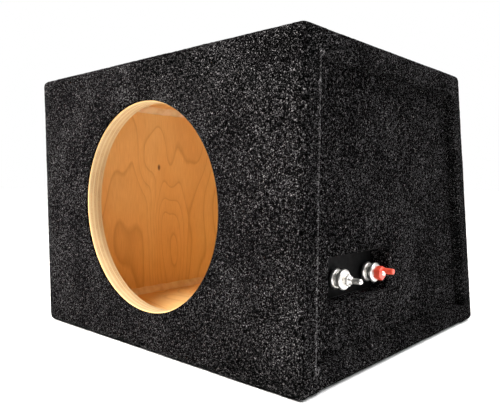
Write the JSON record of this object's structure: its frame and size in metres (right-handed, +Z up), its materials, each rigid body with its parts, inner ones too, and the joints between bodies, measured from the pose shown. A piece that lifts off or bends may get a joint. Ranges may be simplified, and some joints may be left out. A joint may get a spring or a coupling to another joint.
{
  "type": "car subwoofer enclosure",
  "caption": "Carpeted wooden wedge enclosure with a round driver cutout in front, recessed ends and red and plain binding posts in a slot in one end.",
  "frame": {"origin": "under the middle of the enclosure, on the surface that it stands on", "axes": "+X to the right seen from the front, towards the end with the binding posts; +Y to the rear, the driver faces -Y; +Z up"},
  "size_m": [0.443, 0.4098, 0.33],
  "materials": {
    "carpet": "needle-punched charcoal carpet with pale flecks",
    "plywood": "bare sanded plywood",
    "joint_sealant": "dried translucent sealant",
    "zinc_steel": "zinc plated",
    "black_steel": "black oxide",
    "hardboard": "black faced hardboard",
    "foam_gasket": "closed-cell foam",
    "black_nylon": "moulded nylon",
    "nickel_plate": "bright nickel plate on brass",
    "tinned_brass": "tinned",
    "red_vinyl": "moulded red vinyl"
  },
  "bodies": {
    "case": {"front_baffle": "plywood", "rear_panel": "plywood", "top_panel": "plywood", "bottom_panel": "plywood", "left_end_panel": "plywood", "right_end_panel": "plywood", "wrap_carpet": "carpet", "base_carpet": "carpet", "left_end_carpet": "carpet", "right_end_carpet": "carpet", "left_end_sealant": "joint_sealant", "right_end_sealant": "joint_sealant", "long_joint_sealant": "joint_sealant", "front_screws": "zinc_steel", "rear_screws": "zinc_steel", "top_screws": "zinc_steel", "base_screws": "zinc_steel", "terminal_board": "hardboard", "board_gasket": "foam_gasket", "board_screws": "black_steel", "negative_stud": "nickel_plate", "negative_bushing": "black_nylon", "negative_base_disc": "nickel_plate", "negative_insulator": "black_nylon", "negative_solder_tab": "tinned_brass", "negative_lock_washer": "zinc_steel", "negative_lock_nut": "zinc_steel", "positive_stud": "nickel_plate", "positive_bushing": "black_nylon", "positive_base_disc": "nickel_plate", "positive_insulator": "black_nylon", "positive_solder_tab": "tinned_brass", "positive_lock_washer": "zinc_steel", "positive_lock_nut": "zinc_steel"},
    "negative_clamp": {"negative_clamp_disc": "nickel_plate"},
    "negative_nut": {"negative_thumb_nut": "nickel_plate"},
    "positive_clamp": {"positive_clamp_disc": "nickel_plate"},
    "positive_nut": {"positive_thumb_nut": "nickel_plate", "positive_cap": "red_vinyl"}
  },
  "joints": [
    {"name": "negative_clamp_slide", "type": "slide", "parent": "case", "child": "negative_clamp", "axis": [1, 0, 0], "range_m": [-0.00125, 0.003]},
    {"name": "negative_nut_turn", "type": "hinge", "parent": "negative_clamp", "child": "negative_nut", "pos_m": [0.2014, -0.10288, 0.0955], "axis": [1, 0, 0], "range_deg": [-450, 1080]},
    {"name": "positive_clamp_slide", "type": "slide", "parent": "case", "child": "positive_clamp", "axis": [1, 0, 0], "range_m": [-0.00125, 0.003]},
    {"name": "positive_nut_turn", "type": "hinge", "parent": "positive_clamp", "child": "positive_nut", "pos_m": [0.2014, -0.03988, 0.0955], "axis": [1, 0, 0], "range_deg": [-450, 1080]}
  ],
  "couplings": [
    {"joint": "negative_nut_turn", "follows": "negative_clamp_slide", "rad_per_m": 6283.2},
    {"joint": "positive_nut_turn", "follows": "positive_clamp_slide", "rad_per_m": 6283.2}
  ]
}
